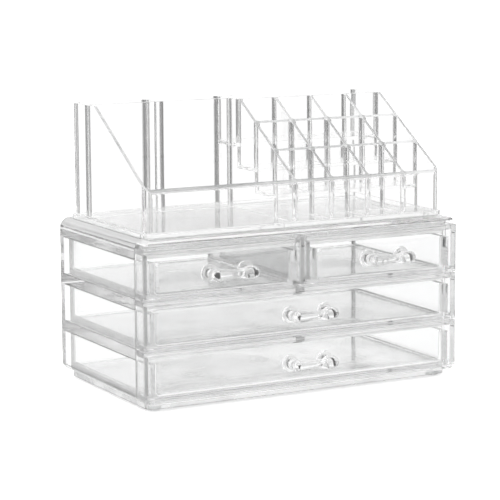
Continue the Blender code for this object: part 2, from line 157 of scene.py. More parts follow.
# Tray
TRAY_SIDE_MARGIN = 0.0071
TRAY_FRONT_MARGIN = 0.0098
TRAY_BACK_MARGIN = 0.0091
TRAY_FRAME_GAP = 0.0006
TRAY_HEIGHT = 0.0787
TRAY_FRONT_HEIGHT = 0.0298
TRAY_FRONT_ROUND = 0.004
TRAY_FLAT_TOP = 0.036
TRAY_WALL = 0.0022
TRAY_FLOOR = 0.003
TRAY_FRONT_CORNER = 0.0052
TRAY_BACK_CORNER = 0.003
SLOT_CORNER = 0.0015
REAR_SLOT_CORNER = 0.003
LEFT_SLOT_DEPTH = 0.0195
LEFT_SLOT_WIDTH = 0.0508
LONG_SLOT_DEPTH = 0.03
COLUMN_WIDTH = 0.0259
COLUMNS = 4
CELL_DEPTH_SHARES = (0.315, 0.332, 0.353)
TREAD_RISE = 0.0149
TREAD_THICKNESS = 0.0022

SEAT_GAP = 0.0003
JOIN_OVERLAP = 0.001
CUT_OVERRUN = 0.003
MERGE_DISTANCE = 0.00001
CORNER_SEGMENTS = 10
SLOT_CORNER_SEGMENTS = 5
FILLET_SEGMENTS = 6
TURN_STEPS = 48
BALL_SEGMENTS = 12
BAR_SEGMENTS = 20
QUARTER_STEPS = 6
BLOCK_SEGMENTS = 4
EDGE_ROUND = 0.00028
EDGE_SEGMENTS = 2
EDGE_ANGLE = 40
SHARP_ANGLE = 50
SPLIT_DISTANCE = 0.000001

# Tests of faces: how near a plane a face lies, and the part of its normal along an axis
NEAR = 0.0008
TRAY_FLOOR_REACH = 0.004
FLAT = 0.96
FACING = 0.9
SLOPED = 0.35
RIM_SLOPE = -0.25
ROUND_TILT = 0.25
ROUND_SPAN = (0.12, 0.992)
CELL_ROUND_TILT = 0.2
CELL_ROUND_SPAN = (0.45, 0.9)
TOP_ROUND_SIDE = 0.1
TOP_ROUND_UP = 0.05
BACK_FACING = 0.1

FRONT_Y = (HANDLE_REACH - CASE_DEPTH) / 2
BACK_Y = FRONT_Y + CASE_DEPTH
CARCASS_FRONT_Y = FRONT_Y + FRONT_CAP_DEPTH
CELL_BACK_Y = BACK_Y - BACK_WALL
CASE_HALF = CASE_WIDTH / 2
CELL_HALF = CASE_HALF - SIDE_WALL
CASE_BOTTOM_Z = FOOT_HEIGHT
ROW_PITCH = CELL_HEIGHT + SHELF
FIRST_FLOOR_Z = CASE_BOTTOM_Z + BASE_PLATE
CEILING_Z = FIRST_FLOOR_Z + ROWS * ROW_PITCH - SHELF
HOLLOW_BOTTOM_Z = CEILING_Z + CEILING
HOLLOW_TOP_Z = HOLLOW_BOTTOM_Z + TOP_HOLLOW
CASE_TOP_Z = HOLLOW_TOP_Z + TOP_PLATE
TRAY_BACK_Y = BACK_Y - TRAY_BACK_MARGIN
TRAY_FRONT_Y = FRONT_Y + TRAY_FRONT_MARGIN
TRAY_HALF = CASE_HALF - TRAY_SIDE_MARGIN
TRAY_BOTTOM_Z = CASE_TOP_Z + SEAT_GAP

PLAN = Matrix.Identity(4)
SIDE_VIEW = Matrix(((0, 0, 1, 0), (1, 0, 0, 0), (0, 1, 0, 0), (0, 0, 0, 1)))
FRONT_VIEW = Matrix(((1, 0, 0, 0), (0, 0, -1, 0), (0, 1, 0, 0), (0, 0, 0, 1)))
TURNED_TO_FRONT = Matrix.Rotation(math.radians(90), 4, "X")
TURNED_TO_RIGHT = Matrix.Rotation(math.radians(90), 4, "Y")


def link(name, data):
    """A new object in the scene for a mesh, a camera or a lamp."""
    item = bpy.data.objects.new(name, data)
    scene.collection.objects.link(item)
    return item


def rounded_outline(low, high, radii, segments):
    """Outline of a rectangle whose corners are arcs, from the low corner anticlockwise."""
    corners = ((low[0], low[1], 1, 1, 180), (high[0], low[1], -1, 1, 270),
               (high[0], high[1], -1, -1, 0), (low[0], high[1], 1, -1, 90))
    points = []
    for (x, y, side_x, side_y, start), radius in zip(corners, radii):
        if radius == 0:
            points.append((x, y))
            continue
        for step in range(segments + 1):
            angle = math.radians(start + 90 * step / segments)
            points.append((x + side_x * radius + radius * math.cos(angle),
                           y + side_y * radius + radius * math.sin(angle)))
    return points


def prism(name, points, low, high, view):
    """A flat outline extruded from low to high along the axis that the view looks along."""
    work = bmesh.new()
    lower = [work.verts.new((u, v, low)) for u, v in points]
    upper = [work.verts.new((u, v, high)) for u, v in points]
    work.faces.new(lower[::-1])
    work.faces.new(upper)
    for index in range(len(points)):
        after = (index + 1) % len(points)
        work.faces.new((lower[index], lower[after], upper[after], upper[index]))
    work.transform(view)
    bmesh.ops.remove_doubles(work, verts=work.verts, dist=MERGE_DISTANCE)
    bmesh.ops.recalc_face_normals(work, faces=work.faces)
    mesh = bpy.data.meshes.new(name)
    work.to_mesh(mesh)
    work.free()
    return link(name, mesh)


def block(name, low, high, rounding=0):
    """A box between two corners, with all its edges rounded if a rounding is given."""
    work = bmesh.new()
    bmesh.ops.create_cube(work, size=1)
    for vertex in work.verts:
        vertex.co = [a if value < 0 else b for value, a, b in zip(vertex.co, low, high)]
    if rounding:
        bmesh.ops.bevel(work, geom=work.edges[:], offset=rounding, segments=BLOCK_SEGMENTS,
                        profile=0.5, affect="EDGES", clamp_overlap=True)
    mesh = bpy.data.meshes.new(name)
    work.to_mesh(mesh)
    work.free()
    return link(name, mesh)


def turned(name, profile, view, place):
    """A profile of (radius, height) points, given top to bottom, turned about its own axis."""
    work = bmesh.new()
    rings = []
    for radius, height in profile:
        if radius < MERGE_DISTANCE:
            rings.append([work.verts.new((0, 0, height))])
        else:
            rings.append([
                work.verts.new((radius * math.cos(math.tau * step / TURN_STEPS),
                                radius * math.sin(math.tau * step / TURN_STEPS), height))
                for step in range(TURN_STEPS)
            ])
    for upper, lower in zip(rings, rings[1:]):
        for step in range(TURN_STEPS):
            after = (step + 1) % TURN_STEPS
            corners = [lower[step % len(lower)], lower[after % len(lower)],
                       upper[after % len(upper)], upper[step % len(upper)]]
            loop = [vertex for index, vertex in enumerate(corners)
                    if vertex not in corners[:index]]
            if len(loop) > 2:
                work.faces.new(loop)
    work.transform(Matrix.Translation(place) @ view)
    bmesh.ops.recalc_face_normals(work, faces=work.faces)
    mesh = bpy.data.meshes.new(name)
    work.to_mesh(mesh)
    work.free()
    return link(name, mesh)


def combine(item, operation, tools):
    """Cuts, joins or trims an object with each tool in turn, applies it and deletes the tools."""
    for tool in tools:
        modifier = item.modifiers.new(tool.name, "BOOLEAN")
        modifier.operation = operation
        modifier.object = tool
    depsgraph = bpy.context.evaluated_depsgraph_get()
    mesh = bpy.data.meshes.new_from_object(item.evaluated_get(depsgraph))
    item.modifiers.clear()
    item.data = mesh
    for tool in tools:
        bpy.data.objects.remove(tool)
    return item


def ring(name, low, high, wall, radii, bottom, top):
    """A level frame of an even wall, with rounded corners."""
    outline = rounded_outline(low, high, radii, CORNER_SEGMENTS)
    frame_piece = prism(name, outline, bottom, top, PLAN)
    inner_outline = rounded_outline([value + wall for value in low],
                                    [value - wall for value in high],
                                    [radius - wall for radius in radii], CORNER_SEGMENTS)
    inner = prism(name + "_inside", inner_outline, bottom - CUT_OVERRUN, top + CUT_OVERRUN, PLAN)
    return combine(frame_piece, "DIFFERENCE", [inner])


def row_floor(row):
    """Height of a row's cell floor, the rows counted from the bottom."""
    return FIRST_FLOOR_Z + row * ROW_PITCH


def cell_spans():
    """Row and side limits of each drawer's cell, with the drawer's name."""
    return (("bottom", 0, -CELL_HALF, CELL_HALF), ("middle", 1, -CELL_HALF, CELL_HALF),
            ("top_left", ROWS - 1, -CELL_HALF, -DIVIDER / 2),
            ("top_right", ROWS - 1, DIVIDER / 2, CELL_HALF))


def front_spans():
    """Side limits of each drawer front."""
    return {"bottom": (-CASE_HALF, CASE_HALF), "middle": (-CASE_HALF, CASE_HALF),
            "top_left": (-CASE_HALF, -FRONT_GAP / 2), "top_right": (FRONT_GAP / 2, CASE_HALF)}


def handle_height(row):
    """Height of the middle of a row's handles."""
    return row_floor(row) + FRONT_RAISE + (ROW_PITCH - FRONT_GAP) / 2 - HANDLE_DROP


def make_case():
    """The case: walls, shelves, divider, hollow under the top plate, skirt and frame."""
    outline = rounded_outline((-CASE_HALF, CASE_BOTTOM_Z), (CASE_HALF, CASE_TOP_Z),
                              [CASE_BOTTOM_CORNER] * 2 + [CASE_TOP_CORNER] * 2, CORNER_SEGMENTS)
    case = prism("case_moulding", outline, -BACK_Y, -FRONT_Y, FRONT_VIEW)
    cuts = [
        block("front_room", (-CASE_HALF - CUT_OVERRUN, FRONT_Y - CUT_OVERRUN, FIRST_FLOOR_Z),
              (CASE_HALF + CUT_OVERRUN, CARCASS_FRONT_Y, HOLLOW_TOP_Z)),
        block("top_hollow", (-CELL_HALF, FRONT_Y - CUT_OVERRUN, HOLLOW_BOTTOM_Z),
              (CELL_HALF, CELL_BACK_Y, HOLLOW_TOP_Z)),
    ]
    for name, row, low, high in cell_spans():
        cell = rounded_outline((low, row_floor(row)), (high, row_floor(row) + CELL_HEIGHT),
                               [CELL_CORNER] * 4, SLOT_CORNER_SEGMENTS)
        cuts.append(prism("cell_" + name, cell, -CELL_BACK_Y, -FRONT_Y + CUT_OVERRUN, FRONT_VIEW))
    combine(case, "DIFFERENCE", cuts)
    skirt = ring("skirt", (-CASE_HALF + SKIRT_INSET, FRONT_Y + SKIRT_INSET),
                 (CASE_HALF - SKIRT_INSET, BACK_Y - SKIRT_INSET), SKIRT_WALL, [SKIRT_CORNER] * 4,
                 CASE_BOTTOM_Z - SKIRT_HEIGHT, CASE_BOTTOM_Z + JOIN_OVERLAP)
    margin = TRAY_FRAME_GAP + FRAME_WALL
    rim = ring("tray_frame", (-TRAY_HALF - margin, TRAY_FRONT_Y - margin),
               (TRAY_HALF + margin, TRAY_BACK_Y + margin), FRAME_WALL,
               [TRAY_FRONT_CORNER + margin] * 2 + [TRAY_BACK_CORNER + margin] * 2,
               CASE_TOP_Z - JOIN_OVERLAP, CASE_TOP_Z + FRAME_HEIGHT)
    return combine(case, "UNION", [skirt, rim])


def make_foot(name, side_x, side_y):
    """A round pad inside a corner of the skirt, its lower edge rounded."""
    inset = SKIRT_INSET + SKIRT_WALL + FOOT_CLEARANCE + FOOT_RADIUS
    middle_y = (FRONT_Y + BACK_Y) / 2
    place = (side_x * (CASE_HALF - inset), middle_y + side_y * (CASE_DEPTH / 2 - inset), 0)
    top = CASE_BOTTOM_Z - SEAT_GAP
    angles = [math.radians(90 * step / QUARTER_STEPS) for step in range(QUARTER_STEPS + 1)]
    rounding = [(FOOT_RADIUS - FOOT_EDGE + FOOT_EDGE * math.cos(angle),
                 FOOT_EDGE - FOOT_EDGE * math.sin(angle)) for angle in angles]
    profile = [(0, top), (FOOT_RADIUS - FOOT_EDGE / 2, top), (FOOT_RADIUS, top - FOOT_EDGE / 2)]
    return turned(name, profile + rounding + [(0, 0)], PLAN, place)


def drawer_pocket(name, low, high):
    """The hollow of a drawer: round upright corners, filleted all round the floor."""
    outline = rounded_outline(low[:2], high[:2], [BODY_INNER_CORNER] * 4, CORNER_SEGMENTS)
    pocket = prism(name, outline, low[2], high[2], PLAN)
    work = bmesh.new()
    work.from_mesh(pocket.data)
    bottom = min(vertex.co.z for vertex in work.verts)
    edges = [edge for edge in work.edges
             if all(vertex.co.z - bottom < MERGE_DISTANCE for vertex in edge.verts)]
    bmesh.ops.bevel(work, geom=edges, offset=BODY_FILLET, segments=FILLET_SEGMENTS, profile=0.5,
                    affect="EDGES", clamp_overlap=True)
    work.to_mesh(pocket.data)
    work.free()
    return pocket


def make_drawer(name, row, span):
    """A drawer: front cap with returns all round, body behind it and two holes for the pegs."""
    left, right = span
    bottom = row_floor(row) + FRONT_RAISE
    top = bottom + ROW_PITCH - FRONT_GAP + (FRONT_TOP_EXTRA if row == ROWS - 1 else 0)
    cap_back = CARCASS_FRONT_Y - FRONT_GAP
    body_left, body_right = left + BODY_INSET, right - BODY_INSET
    body_bottom = row_floor(row) + SEAT_GAP
    body_top = row_floor(row) + CELL_HEIGHT - BODY_HEAD_GAP
    body_back = CELL_BACK_Y - BODY_BACK_GAP
    panel_back = FRONT_Y + FRONT_PANEL
    drawer = block("drawer_" + name + "_moulding", (left, FRONT_Y, bottom),
                   (right, cap_back, top), FRONT_EDGE)
    combine(drawer, "DIFFERENCE", [
        block("cap_inside", (left + FRONT_SIDE_RETURN, panel_back, bottom + FRONT_RETURN),
              (right - FRONT_SIDE_RETURN, cap_back + CUT_OVERRUN, top - FRONT_RETURN))])
    neck = block("neck", (body_left, panel_back - JOIN_OVERLAP,
                          bottom + FRONT_RETURN - JOIN_OVERLAP),
                 (body_right, cap_back + JOIN_OVERLAP, body_top))
    outline = rounded_outline((body_left, cap_back), (body_right, body_back),
                              [0, 0] + [BODY_OUTER_CORNER] * 2, CORNER_SEGMENTS)
    body = prism("body", outline, body_bottom, body_top, PLAN)
    combine(drawer, "UNION", [neck, body])
    cuts = [drawer_pocket("pocket", (body_left + BODY_WALL, panel_back, body_bottom + BODY_FLOOR),
                          (body_right - BODY_WALL, body_back - BODY_WALL, body_top + CUT_OVERRUN))]
    radius, hole_end = PEG_RADIUS + PEG_CLEARANCE, -FRONT_PANEL - CUT_OVERRUN
    hole = [(0, CUT_OVERRUN), (radius, CUT_OVERRUN), (radius, hole_end), (0, hole_end)]
    for side in (-1, 1):
        place = ((left + right) / 2 + side * HANDLE_HALF_SPAN, FRONT_Y, handle_height(row))
        cuts.append(turned("hole_%d" % side, hole, TURNED_TO_FRONT, place))
    return combine(drawer, "DIFFERENCE", cuts)


def make_handle(name, row, span):
    """A handle: a waisted bar between two balls, on two flared posts with pegs."""
    middle_x, middle_z = sum(span) / 2, handle_height(row)
    bar_out = HANDLE_REACH - BALL_RADIUS
    ball_end = [(BALL_RADIUS * math.sin(angle), HANDLE_HALF_SPAN + BALL_RADIUS * math.cos(angle))
                for angle in (math.radians(90 * step / BALL_SEGMENTS)
                              for step in range(BALL_SEGMENTS + 1))]
    waist = []
    for step in range(1, BAR_SEGMENTS):
        along = HANDLE_HALF_SPAN * (1 - 2 * step / BAR_SEGMENTS)
        swell = (1 - math.cos(math.pi * along / HANDLE_HALF_SPAN)) / 2
        waist.append((WAIST_RADIUS + (BALL_RADIUS - WAIST_RADIUS) * swell, along))
    other_end = [(radius, -along) for radius, along in reversed(ball_end)]
    bar = turned("handle_" + name + "_moulding", ball_end + waist + other_end, TURNED_TO_RIGHT,
                 (middle_x, FRONT_Y - bar_out, middle_z))
    face = SEAT_GAP + FLANGE_THICKNESS
    profile = [(0, bar_out), (POST_RADIUS, bar_out), (POST_RADIUS, face + FLANGE_FLARE)]
    for step in range(1, QUARTER_STEPS + 1):
        angle = math.radians(90 * step / QUARTER_STEPS)
        flare = (FLANGE_RADIUS - POST_RADIUS) * (1 - math.cos(angle)) * FLARE_SHARE
        profile.append((POST_RADIUS + flare, face + FLANGE_FLARE * (1 - math.sin(angle))))
    half = FLANGE_THICKNESS / 2
    rim = half * FLANGE_RIM
    for step in range(1, 2 * QUARTER_STEPS):
        angle = math.radians(90 - 90 * step / QUARTER_STEPS)
        profile.append((FLANGE_RADIUS - rim + rim * math.cos(angle),
                        SEAT_GAP + half + half * math.sin(angle)))
    profile += [(FLANGE_RADIUS - rim, SEAT_GAP), (PEG_RADIUS, SEAT_GAP),
                (PEG_RADIUS, -FRONT_PANEL), (0, -FRONT_PANEL)]
    posts = [turned("post_%d" % side, profile, TURNED_TO_FRONT,
                    (middle_x + side * HANDLE_HALF_SPAN, FRONT_Y, middle_z)) for side in (-1, 1)]
    return combine(bar, "UNION", posts)


def tray_walls():
    """Back faces of the level walls: behind the front tray, and a, b and c down the stair."""
    back_inner = TRAY_BACK_Y - TRAY_WALL
    walls = {"left": back_inner - LEFT_SLOT_DEPTH, "a": back_inner - LONG_SLOT_DEPTH}
    room = walls["a"] - TRAY_FRONT_Y - (len(CELL_DEPTH_SHARES) + 1) * TRAY_WALL
    walls["b"] = walls["a"] - TRAY_WALL - room * CELL_DEPTH_SHARES[0]
    walls["c"] = walls["b"] - TRAY_WALL - room * CELL_DEPTH_SHARES[1]
    return walls


def stair_left():
    """Left side of the lipstick cells and of the long slot behind them."""
    return TRAY_HALF - TRAY_WALL - COLUMNS * COLUMN_WIDTH - (COLUMNS - 1) * TRAY_WALL


def tread_height(count):
    """Height of a step's floor over the tray's underside, the steps counted from the front."""
    return TRAY_FLOOR + count * TREAD_RISE


def tray_slots():
    """Low corner, high corner and corner radii of every slot in the tray."""
    walls = tray_walls()
    inside = -TRAY_HALF + TRAY_WALL
    stair = stair_left()
    left_end = stair - TRAY_WALL
    front_inner = TRAY_FRONT_Y + TRAY_WALL
    back_inner = TRAY_BACK_Y - TRAY_WALL
    second_slot = inside + LEFT_SLOT_WIDTH + TRAY_WALL
    front_round = TRAY_FRONT_CORNER - TRAY_WALL
    small, wide = SLOT_CORNER, REAR_SLOT_CORNER
    slots = [
        ("front_tray", (inside, front_inner, TRAY_FLOOR), (left_end, walls["left"] - TRAY_WALL),
         (front_round, small, small, small)),
        ("rear_slot_1", (inside, walls["left"], TRAY_FLOOR),
         (second_slot - TRAY_WALL, back_inner), (wide,) * 4),
        ("rear_slot_2", (second_slot, walls["left"], TRAY_FLOOR),
         (left_end, back_inner), (wide,) * 4),
        ("rear_slot_3", (stair, walls["a"], tread_height(3)),
         (TRAY_HALF - TRAY_WALL, back_inner), (wide,) * 4),
    ]
    rows = (("back", walls["b"], walls["a"] - TRAY_WALL, tread_height(2)),
            ("middle", walls["c"], walls["b"] - TRAY_WALL, tread_height(1)),
            ("front", front_inner, walls["c"] - TRAY_WALL, tread_height(0)))
    for row_name, near, far, floor in rows:
        for column in range(COLUMNS):
            low_x = stair + column * (COLUMN_WIDTH + TRAY_WALL)
            at_corner = row_name == "front" and column == COLUMNS - 1
            slots.append(("cell_%s_%d" % (row_name, column + 1), (low_x, near, floor),
                          (low_x + COLUMN_WIDTH, far),
                          (small, front_round if at_corner else small, small, small)))
    return slots


def roof_height(y):
    """Height of the tray's sloped roof line over its front edge, level towards the back."""
    share = (y - TRAY_FRONT_Y) / (TRAY_BACK_Y - TRAY_FLAT_TOP - TRAY_FRONT_Y)
    rise = min(1.0, share) * (TRAY_HEIGHT - TRAY_FRONT_HEIGHT)
    return TRAY_BOTTOM_Z + TRAY_FRONT_HEIGHT + rise


def make_tray():
    """The tray: a sloped block trimmed to rounded corners, hollowed from above and below."""
    top = TRAY_BOTTOM_Z + TRAY_HEIGHT
    slope_end_y = TRAY_BACK_Y - TRAY_FLAT_TOP
    front_top = TRAY_BOTTOM_Z + TRAY_FRONT_HEIGHT
    slope = math.atan2(top - front_top, slope_end_y - TRAY_FRONT_Y)
    turn = math.pi / 2 - slope
    centre_y = TRAY_FRONT_Y + TRAY_FRONT_ROUND
    centre_z = front_top - TRAY_FRONT_ROUND * math.tan(turn / 2)
    angles = [turn * step / CORNER_SEGMENTS for step in range(CORNER_SEGMENTS + 1)]
    front_round = [(centre_y - TRAY_FRONT_ROUND * math.cos(angle),
                    centre_z + TRAY_FRONT_ROUND * math.sin(angle)) for angle in angles]
    profile = [(TRAY_FRONT_Y, TRAY_BOTTOM_Z)] + front_round + [
        (slope_end_y, top), (TRAY_BACK_Y, top), (TRAY_BACK_Y, TRAY_BOTTOM_Z)]
    tray = prism("tray_moulding", profile, -TRAY_HALF, TRAY_HALF, SIDE_VIEW)
    outline = rounded_outline((-TRAY_HALF, TRAY_FRONT_Y), (TRAY_HALF, TRAY_BACK_Y),
                              [TRAY_FRONT_CORNER] * 2 + [TRAY_BACK_CORNER] * 2, CORNER_SEGMENTS)
    plan = prism("tray_plan", outline, TRAY_BOTTOM_Z - CUT_OVERRUN, top + CUT_OVERRUN, PLAN)
    combine(tray, "INTERSECT", [plan])
    cuts = []
    for name, low, high, radii in tray_slots():
        segments = CORNER_SEGMENTS if max(radii) > SLOT_CORNER else SLOT_CORNER_SEGMENTS
        cuts.append(prism("slot_" + name, rounded_outline(low[:2], high, radii, segments),
                          TRAY_BOTTOM_Z + low[2], top + CUT_OVERRUN, PLAN))
    walls = tray_walls()
    levels = [TRAY_BOTTOM_Z + tread_height(count) - TREAD_THICKNESS for count in (1, 2, 3)]
    back = TRAY_BACK_Y - TRAY_WALL
    below = TRAY_BOTTOM_Z - CUT_OVERRUN
    under = [(walls["c"], below), (walls["c"], levels[0]), (walls["b"], levels[0]),
             (walls["b"], levels[1]), (walls["a"], levels[1]), (walls["a"], levels[2]),
             (back, levels[2]), (back, below)]
    cuts.append(prism("under_stair", under, stair_left(), TRAY_HALF - TRAY_WALL, SIDE_VIEW))
    return combine(tray, "DIFFERENCE", cuts)


def finish_edges(item, width=EDGE_ROUND):
    """Rounds the sharp edges a little, shades the piece smooth and keeps flat faces flat."""
    if width:
        bevel = item.modifiers.new("edge_round", "BEVEL")
        bevel.width = width
        bevel.segments = EDGE_SEGMENTS
        bevel.limit_method = "ANGLE"
        bevel.angle_limit = math.radians(EDGE_ANGLE)
        bevel.use_clamp_overlap = False
        depsgraph = bpy.context.evaluated_depsgraph_get()
        mesh = bpy.data.meshes.new_from_object(item.evaluated_get(depsgraph))
        item.modifiers.clear()
        item.data = mesh
    item.data.shade_smooth()
    item.data.set_sharp_from_angle(angle=math.radians(SHARP_ANGLE))
    weighted = item.modifiers.new("flat_faces", "WEIGHTED_NORMAL")
    weighted.keep_sharp = True
    return item


def split_faces(item, planes):
    """Splits flat faces along planes (point and normal), so that each side has its finish."""
    mesh = bmesh.new()
    mesh.from_mesh(item.data)
    for point, normal in planes:
        parts = mesh.verts[:] + mesh.edges[:] + mesh.faces[:]
        bmesh.ops.bisect_plane(mesh, geom=parts, dist=SPLIT_DISTANCE, plane_co=point,
                               plane_no=normal)
    mesh.to_mesh(item.data)
    mesh.free()
    return item


def add_node(tree, kind, values=None, links=None, **settings):
    """A shader node: its settings, the constants of its inputs, and the sockets linked to them."""
    node = tree.nodes.new("ShaderNode" + kind)
    for setting, value in settings.items():
        setattr(node, setting, value)
    for key, value in (values or {}).items():
        node.inputs[key].default_value = value
    for key, socket in (links or {}).items():
        tree.links.new(socket, node.inputs[key])
    return node


def clear_plastic(name, tint, roughness, wave, absorption=0, clear=1, haze_step=None):
    """Moulded plastic: slow waves, rougher patches, the share that is clear and absorption, and
    where a step is given, painted shade on a drawer's floor.
    """
    material = bpy.data.materials.new(name)
    material.use_nodes = True
    tree = material.node_tree
    shader = tree.nodes["Principled BSDF"]
    shader.inputs["Base Color"].default_value = (*tint, 1)
    shader.inputs["Transmission Weight"].default_value = clear
    shader.inputs["IOR"].default_value = PLASTIC_IOR
    position = add_node(tree, "TexCoord").outputs["Object"]

    patches = add_node(tree, "TexNoise", {"Scale": PATCH_SCALE, "Detail": PATCH_DETAIL},
                       {"Vector": position})
    rougher = add_node(tree, "MapRange", {"From Min": PATCH_START, "From Max": PATCH_END,
                                          "To Min": roughness, "To Max": roughness * PATCH_ROUGHER},
                       {"Value": patches.outputs["Fac"]})
    tree.links.new(rougher.outputs["Result"], shader.inputs["Roughness"])

    flow = add_node(tree, "TexNoise", {"Scale": WAVE_SCALE, "Detail": WAVE_DETAIL},
                    {"Vector": position})
    bump = add_node(tree, "Bump", {"Strength": wave, "Distance": WAVE_DEPTH},
                    {"Height": flow.outputs["Fac"]})
    tree.links.new(bump.outputs["Normal"], shader.inputs["Normal"])

    # Painted shade: the floor is greyed to the tint where the shaded table under the organizer
    # shows through it
    if haze_step is not None:
        floor_shade_mask = painted_floor_shade(tree, position, haze_step)
        tree.links.new(mixed(tree, floor_shade_mask, 1.0, tint[0]), shader.inputs["Base Color"])
    if absorption:
        body = add_node(tree, "VolumeAbsorption", {"Color": (0, 0, 0, 1), "Density": absorption})
        tree.links.new(body.outputs[0], tree.nodes["Material Output"].inputs["Volume"])
    return material


def painted_floor_shade(tree, position, step_x):
    """Mask of the painted shade on a wide drawer's floor, standing in for the shaded table under
    the organizer seen through it: all of its left, and the front of its right.
    """
    parts = add_node(tree, "SeparateXYZ", links={0: position})
    edge = add_node(tree, "MapRange", {"From Min": step_x, "From Max": step_x + FLOOR_SHADE_STEP_WIDTH,
                                       "To Min": FLOOR_SHADE_BACK_Y, "To Max": FLOOR_SHADE_FRONT_Y},
                    {"Value": parts.outputs["X"]}, interpolation_type="SMOOTHSTEP")
    wobble = add_node(tree, "TexNoise", {"Scale": FLOOR_SHADE_SCALE, "Detail": FLOOR_SHADE_DETAIL},
                      {"Vector": position})
    spread = add_node(tree, "MapRange", {"To Min": -FLOOR_SHADE_WOBBLE, "To Max": FLOOR_SHADE_WOBBLE},
                      {"Value": wobble.outputs["Fac"]})
    waved = add_node(tree, "Math", operation="ADD",
                     links={0: edge.outputs["Result"], 1: spread.outputs["Result"]})
    behind = add_node(tree, "Math", operation="SUBTRACT",
                      links={0: parts.outputs["Y"], 1: waved.outputs[0]})
    inside = add_node(tree, "MapRange", {"From Min": 0, "From Max": -FLOOR_SHADE_SOFTNESS},
                      {"Value": behind.outputs[0]}, interpolation_type="SMOOTHSTEP")
    return inside.outputs["Result"]


def add_camera():
    """The photograph's camera, as fitted to the straight edges in it."""
    yaw, pitch, roll = (math.radians(value) for value in (CAMERA_YAW, CAMERA_PITCH, CAMERA_ROLL))
    forward = Vector((math.sin(yaw) * math.cos(pitch), math.cos(yaw) * math.cos(pitch),
                      -math.sin(pitch)))
    right = Vector((math.cos(yaw), -math.sin(yaw), 0))
    up = right.cross(forward)
    across = math.cos(roll) * right + math.sin(roll) * up
    upward = math.cos(roll) * up - math.sin(roll) * right
    data = bpy.data.cameras.new("photo_camera")
    data.sensor_width = CAMERA_SENSOR
    data.lens = CAMERA_LENS
    camera = link("photo_camera", data)
    rotation = Matrix((across, upward, -forward)).transposed().to_4x4()
    camera.matrix_world = Matrix.Translation(CAMERA_PLACE) @ rotation
    scene.camera = camera


def ramp_node(tree, stops):
    """A colour ramp of grey stops given as (position, value)."""
    ramp = add_node(tree, "ValToRGB")
    elements = ramp.color_ramp.elements
    elements[0].position, elements[1].position = stops[0][0], stops[-1][0]
    elements[0].color, elements[1].color = (*grey(stops[0][1]), 1), (*grey(stops[-1][1]), 1)
    for position, value in stops[1:-1]:
        elements.new(position).color = (*grey(value), 1)
    return ramp


def window(tree, value, low, high, fade):
    """1 where a value is between two limits, with a soft edge outside them."""
    edges = [add_node(tree, "MapRange", {"From Min": start, "From Max": end}, {"Value": value},
                      interpolation_type="SMOOTHSTEP").outputs["Result"]
             for start, end in ((low - fade, low), (high + fade, high))]
    return multiplied(tree, *edges)


def multiplied(tree, first, second):
    """The product of two sockets."""
    return add_node(tree, "Math", links={0: first, 1: second}, operation="MULTIPLY").outputs[0]


def grey(value):
    """A colour of three equal parts."""
    return (value, value, value)


def mixed(tree, factor, low, high):
    """Mixes two greys or colour sockets by a factor."""
    mix = add_node(tree, "Mix", data_type="RGBA")
    tree.links.new(factor, mix.inputs["Factor"])
    for value, socket in ((low, mix.inputs["A"]), (high, mix.inputs["B"])):
        if isinstance(value, (int, float)):
            socket.default_value = (*grey(value), 1)
        else:
            tree.links.new(value, socket)
    return mix.outputs["Result"]


def add_world():
    """White to the camera, and to the plastic greyer above the horizon and at the cards."""
    world = bpy.data.worlds.new("studio")
    scene.world = world
    world.use_nodes = True
    tree = world.node_tree
    coordinates = add_node(tree, "TexCoord")
    parts = add_node(tree, "SeparateXYZ", links={0: coordinates.outputs["Generated"]})
    turn = add_node(tree, "Math", operation="ARCTAN2",
                    links={0: parts.outputs["X"], 1: parts.outputs["Y"]})
    either_side = add_node(tree, "Math", operation="ABSOLUTE", links={0: turn.outputs[0]})
    degrees = add_node(tree, "Math", operation="DEGREES", links={0: either_side.outputs[0]})

    height = add_node(tree, "MapRange", {"From Min": -1}, {"Value": parts.outputs["Z"]})
    sky = ramp_node(tree, [((sine + 1) / 2, value) for sine, value in SKY_STOPS])
    tree.links.new(height.outputs["Result"], sky.inputs["Fac"])
    shade = sky.outputs["Color"]
    for start, end, low, high in CARDS:
        card = multiplied(tree, window(tree, degrees.outputs[0], start, end, CARD_EDGE),
                          window(tree, parts.outputs["Z"], low, high, CARD_FADE))
        shade = mixed(tree, card, shade, CARD_GREY)
    path = add_node(tree, "LightPath")
    background = tree.nodes["Background"]
    tree.links.new(mixed(tree, path.outputs["Is Camera Ray"], shade, 1.0),
                   background.inputs["Color"])
    background.inputs["Strength"].default_value = LIGHT_STRENGTH


